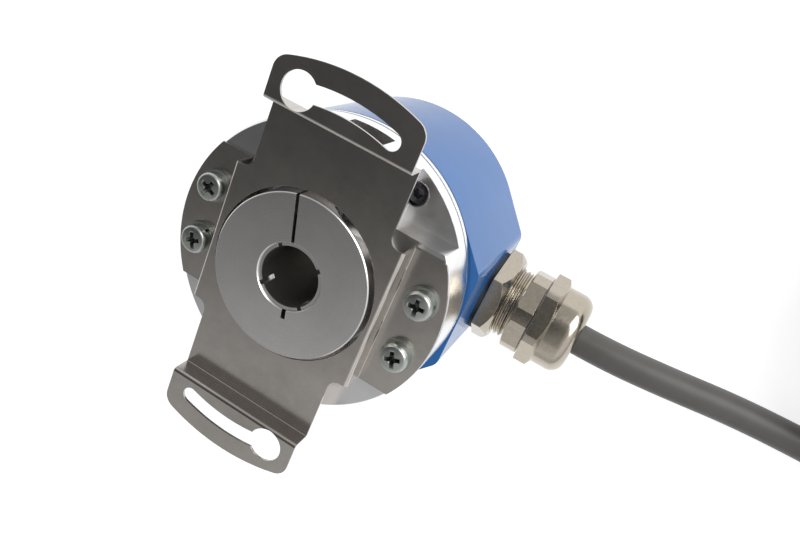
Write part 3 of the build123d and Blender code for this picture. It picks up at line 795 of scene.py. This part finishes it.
# --------------------------------------------------------------------------- finishes
def make_finishes():
    return {
        "blue_paint": paint("blue_paint", (0.020, 0.115, 0.330), (0.016, 0.100, 0.300)),
        "turned_aluminium": turned_metal("turned_aluminium", (0.88, 0.88, 0.88), 0.16, 0.28),
        "spring_steel": rolled_sheet("spring_steel", (0.57, 0.535, 0.50), 0.16, 0.25),
        "turned_steel": turned_metal(
            "turned_steel", (0.74, 0.725, 0.715), 0.25, 0.31, depth=0.0012
        ),
        "ground_steel": turned_metal(
            "ground_steel", (0.64, 0.63, 0.61), 0.30, 0.40, depth=0.0015
        ),
        "zinc_plate": plated(
            "zinc_plate", (0.46, 0.485, 0.46), 0.26, 0.40, ripple=0.004, edge=0.05
        ),
        # a darker zinc for the screws' cross recesses: painted shade in the hollows
        "recess_shade_zinc": plated("recess_shade_zinc", (0.16, 0.17, 0.16), 0.35, 0.50, ripple=0.004, edge=0.02),
        "black_oxide": plated(
            "black_oxide", (0.09, 0.09, 0.10), 0.16, 0.28, ripple=0.004, edge=0.05
        ),
        "bearing_steel": plated(
            "bearing_steel", (0.75, 0.75, 0.76), 0.06, 0.14, ripple=0.002, edge=0.03
        ),
        "brass_cage": plated("brass_cage", (0.72, 0.53, 0.24), 0.22, 0.34),
        "black_rubber": moulded("black_rubber", (0.030, 0.030, 0.032), 0.6, 0.8),
        "nickel_plate": plated(
            "nickel_plate", (0.46, 0.415, 0.345), 0.13, 0.26, ripple=0.004, edge=0.06
        ),
        "white_nylon": moulded("white_nylon", (0.74, 0.72, 0.66), 0.4, 0.55),
        "black_plastic": moulded("black_plastic", (0.03, 0.03, 0.032), 0.4, 0.6),
        "board_green": moulded(
            "board_green", (0.012, 0.13, 0.05), 0.28, 0.4, grain=3.0, depth=0.004
        ),
        "disc_metal": plated(
            "disc_metal", (0.62, 0.63, 0.66), 0.12, 0.2, ripple=0.002, edge=0.02
        ),
        "mask_glass": moulded(
            "mask_glass", (0.35, 0.42, 0.42), 0.05, 0.1, grain=1.0, depth=0.001, specular=0.8
        ),
        "lamp_resin": moulded(
            "lamp_resin", (0.35, 0.42, 0.60), 0.05, 0.12, grain=1.0, depth=0.001, specular=0.7
        ),
        "ceramic_tan": moulded("ceramic_tan", (0.42, 0.30, 0.19), 0.4, 0.55),
        "grey_pvc": GREY_PVC,
        "core_pvc": bpy.data.materials["core_red"],
        "tinned_copper": plated(
            "tinned_copper", (0.76, 0.75, 0.72), 0.16, 0.28, ripple=0.004, edge=0.02
        ),
    }


def dress_nodes(finishes):
    """Give every carried-over node the procedural finish of its slot."""
    for entry in frame["record"]["subparts"]:
        node = NODES[entry["node"]]
        # the shaft is hardened and ground, so it is duller than the other turned steel
        finish = "ground_steel" if entry["node"] == "hollow_shaft" else entry["material_slot"]
        node.data.materials.clear()
        node.data.materials.append(finishes[finish])


FINISHES = make_finishes()
dress_nodes(FINISHES)
make_locknut(FINISHES["nickel_plate"])
make_gland_body(FINISHES["nickel_plate"])
make_cap_nut(FINISHES["nickel_plate"])
make_coupling_screws(FINISHES)


# -------------------------------------------------------------- floor, lights and sky
def make_floor():
    bpy.ops.mesh.primitive_plane_add(size=30.0, location=(0, 0, 0))
    floor = bpy.context.object
    floor.name = "floor"
    g = Finish("floor")
    cloud = g.noise(g.coordinates(), scale=0.01, detail=2.0, roughness=0.5)
    shade = g.ramp(cloud, "Fac", [(0.3, (0.46, 0.46, 0.46)), (0.7, (0.48, 0.48, 0.48))])
    g.link(shade, "Color", g.shader, "Base Color")
    g.set(Roughness=0.8, Specular_IOR_Level=0.2)
    # the floor is a light table: opal plastic, softly lit from below
    g.set(Emission_Color=(1.0, 1.0, 1.0, 1.0), Emission_Strength=0.80)
    floor.data.materials.append(g.material)


def softbox(name, place, size, power):
    """A rectangular white lamp that faces the object."""
    target = Vector((0.02, 0.0, 0.03))
    data = bpy.data.lights.new(name, "AREA")
    data.shape = "RECTANGLE"
    data.size, data.size_y = size
    data.energy = power
    lamp = bpy.data.objects.new(name, data)
    lamp.location = place
    aim = target - Vector(place)
    lamp.rotation_euler = aim.to_track_quat("-Z", "Y").to_euler()
    bpy.context.scene.collection.objects.link(lamp)


def make_sky():
    """A studio tent, white above with pale grey walls, and a dark card over the object."""
    world = bpy.data.worlds.new("studio")
    world.use_nodes = True
    g = Graph(world.node_tree)
    place = g.add("TexCoord")
    split = g.add("SeparateXYZ")
    g.link(place, "Generated", split, "Vector")
    # the card's tone from its near edge (-Y) to its far edge (+Y)
    tones = [
        (-0.95, 0.90),
        (-0.80, 0.50),
        (-0.66, 0.40),
        (-0.57, 0.44),
        (-0.51, 0.34),
        (-0.40, 0.072),
        (0.35, 0.075),
        (0.62, 0.26),
        (0.80, 0.50),
    ]
    half = g.spread(split, "Y", 0.0, 1.0)
    half.inputs["From Min"].default_value = -1.0
    card = g.ramp(half, "Result", [((y + 1) / 2, (tone, tone, tone)) for y, tone in tones])
    # how much of the tent shows beside the card, whose right edge runs slightly askew
    lean = g.add("VectorMath", operation="DOT_PRODUCT")
    lean.inputs[1].default_value = (1.0, -0.25, 0.0)
    g.link(place, "Generated", lean, 0)
    across = g.spread(lean, "Value", 0.0, 1.0)
    across.inputs["From Min"].default_value = -1.0
    shares = [(-0.08, 0.0), (0.0, 0.20), (0.06, 0.30), (0.35, 0.50), (0.65, 1.0)]
    beside = g.ramp(across, "Result", [((x + 1) / 2, (f, f, f)) for x, f in shares])
    tent = g.add("MixRGB")
    tent.inputs["Color2"].default_value = (1.0, 1.0, 1.0, 1.0)
    g.link(beside, "Color", tent, "Fac")
    g.link(card, "Color", tent, "Color1")
    # below it the tent's walls are pale grey all round
    height = g.spread(split, "Z", 0.0, 1.0)
    height.interpolation_type = "SMOOTHSTEP"
    height.inputs["From Min"].default_value = 0.15
    height.inputs["From Max"].default_value = 0.50
    sky = g.add("MixRGB")
    sky.inputs["Color1"].default_value = (0.60, 0.60, 0.61, 1.0)
    g.link(height, "Result", sky, "Fac")
    g.link(tent, "Color", sky, "Color2")
    g.link(sky, "Color", world.node_tree.nodes["Background"], "Color")
    bpy.context.scene.world = world


make_floor()
make_sky()
softbox("key_box", (0.68, 0.74, 0.55), (0.95, 0.75), 10.0)
bpy.context.scene.view_settings.view_transform = "Standard"
